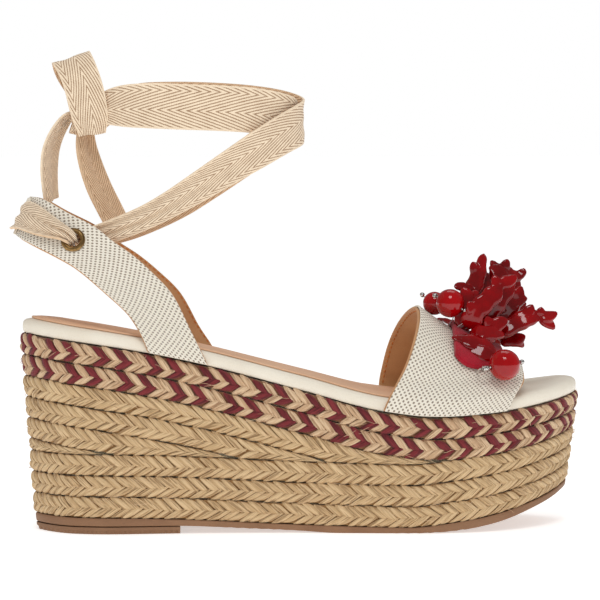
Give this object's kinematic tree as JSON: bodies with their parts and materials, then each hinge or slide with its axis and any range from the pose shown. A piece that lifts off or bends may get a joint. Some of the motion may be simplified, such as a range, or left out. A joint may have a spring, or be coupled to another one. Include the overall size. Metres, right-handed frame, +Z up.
{
  "type": "wedge sandal",
  "caption": "Espadrille wedge sandal with braided jute sole, woven forefoot band carrying a red coral ornament, sling heel strap and a tape tied in a bow round the ankle.",
  "frame": {"origin": "middle of the bottom of the box round the whole sandal at rest, on the ground", "axes": "+X to the toe, -Y to the outer side of the foot, +Z up"},
  "size_m": [0.2506, 0.09, 0.208],
  "materials": {
    "rubber": "matt moulded brown rubber",
    "foam": "light closed-cell foam",
    "board": "fibre board",
    "jute_natural": "natural jute, braided",
    "jute_two_tone": "jute braided with burgundy strands",
    "cream_leather": "smooth cream",
    "tan_leather": "smooth tan",
    "canvas": "cream and taupe dotted weave",
    "tape": "herringbone cotton tape",
    "antique_brass": "antique",
    "coral_red": "glossy moulded resin",
    "felt": "crimson felt",
    "bead_red": "polished",
    "silver_wire": "bright plated wire"
  },
  "bodies": {
    "shoe": {"heel_lift": "rubber", "outsole": "rubber", "wedge_core": "foam", "cushion_foam": "foam", "insole_board": "board", "braid_natural_1": "jute_natural", "braid_natural_2": "jute_natural", "braid_natural_3": "jute_natural", "braid_natural_4": "jute_natural", "braid_natural_5": "jute_natural", "braid_natural_6": "jute_natural", "braid_natural_7": "jute_natural", "braid_two_tone_upper": "jute_two_tone", "braid_two_tone_lower": "jute_two_tone", "footbed_cover": "cream_leather", "sock_lining": "tan_leather", "band_lining": "tan_leather", "quarter_lining_lateral": "tan_leather", "quarter_lining_medial": "tan_leather", "band_outer": "canvas", "quarter_lateral": "canvas", "quarter_medial": "canvas", "tape_heel_wrap": "tape", "eyelet_lateral": "antique_brass", "eyelet_medial": "antique_brass", "eyelet_washer_lateral": "antique_brass", "eyelet_washer_medial": "antique_brass", "coral_1": "coral_red", "coral_2": "coral_red", "coral_3": "coral_red", "coral_4": "coral_red", "coral_5": "coral_red", "coral_6": "coral_red", "coral_7": "coral_red", "coral_8": "coral_red", "coral_9": "coral_red", "coral_10": "coral_red", "ornament_pad": "felt", "headpin_1": "silver_wire", "headpin_2": "silver_wire", "headpin_3": "silver_wire", "headpin_4": "silver_wire"},
    "ankle_tie": {"tape_lateral_run": "tape", "tape_medial_run": "tape", "tape_knot": "tape", "tape_bow_loop": "tape"},
    "tail_back": {"tape_tail_back": "tape"},
    "tail_front": {"tape_tail_front": "tape"},
    "bead_1_spin_body": {"bead_1": "bead_red"},
    "bead_2_spin_body": {"bead_2": "bead_red"},
    "bead_3_spin_body": {"bead_3": "bead_red"},
    "bead_4_spin_body": {"bead_4": "bead_red"}
  },
  "joints": [
    {"name": "ankle_tie_tilt", "type": "hinge", "parent": "shoe", "child": "ankle_tie", "pos_m": [-0.09732, 0.00075, 0.126], "axis": [0.096, 0.9952, -0.0202], "range_deg": [-3, 20]},
    {"name": "tail_back_swing", "type": "hinge", "parent": "ankle_tie", "child": "tail_back", "pos_m": [-0.10022, 0.00145, 0.1764], "axis": [0, 1, 0], "range_deg": [-4, 1.2]},
    {"name": "tail_front_swing", "type": "hinge", "parent": "ankle_tie", "child": "tail_front", "pos_m": [-0.09282, 0.00145, 0.1706], "axis": [0, 1, 0], "range_deg": [-6, 8]},
    {"name": "bead_1_spin", "type": "hinge", "parent": "shoe", "child": "bead_1_spin_body", "pos_m": [0.06498, -0.00905, 0.0975], "axis": [-0.7773, 0.4784, 0.4086], "continuous": true},
    {"name": "bead_2_spin", "type": "hinge", "parent": "shoe", "child": "bead_2_spin_body", "pos_m": [0.08378, -0.03835, 0.0724], "axis": [0.9595, 0.2499, 0.1299], "continuous": true},
    {"name": "bead_3_spin", "type": "hinge", "parent": "shoe", "child": "bead_3_spin_body", "pos_m": [0.06018, 0.00385, 0.0968], "axis": [-0.7684, 0.3293, 0.5488], "continuous": true},
    {"name": "bead_4_spin", "type": "hinge", "parent": "shoe", "child": "bead_4_spin_body", "pos_m": [0.09218, 0.01845, 0.083], "axis": [0.5636, 0.8197, 0.1025], "continuous": true}
  ]
}
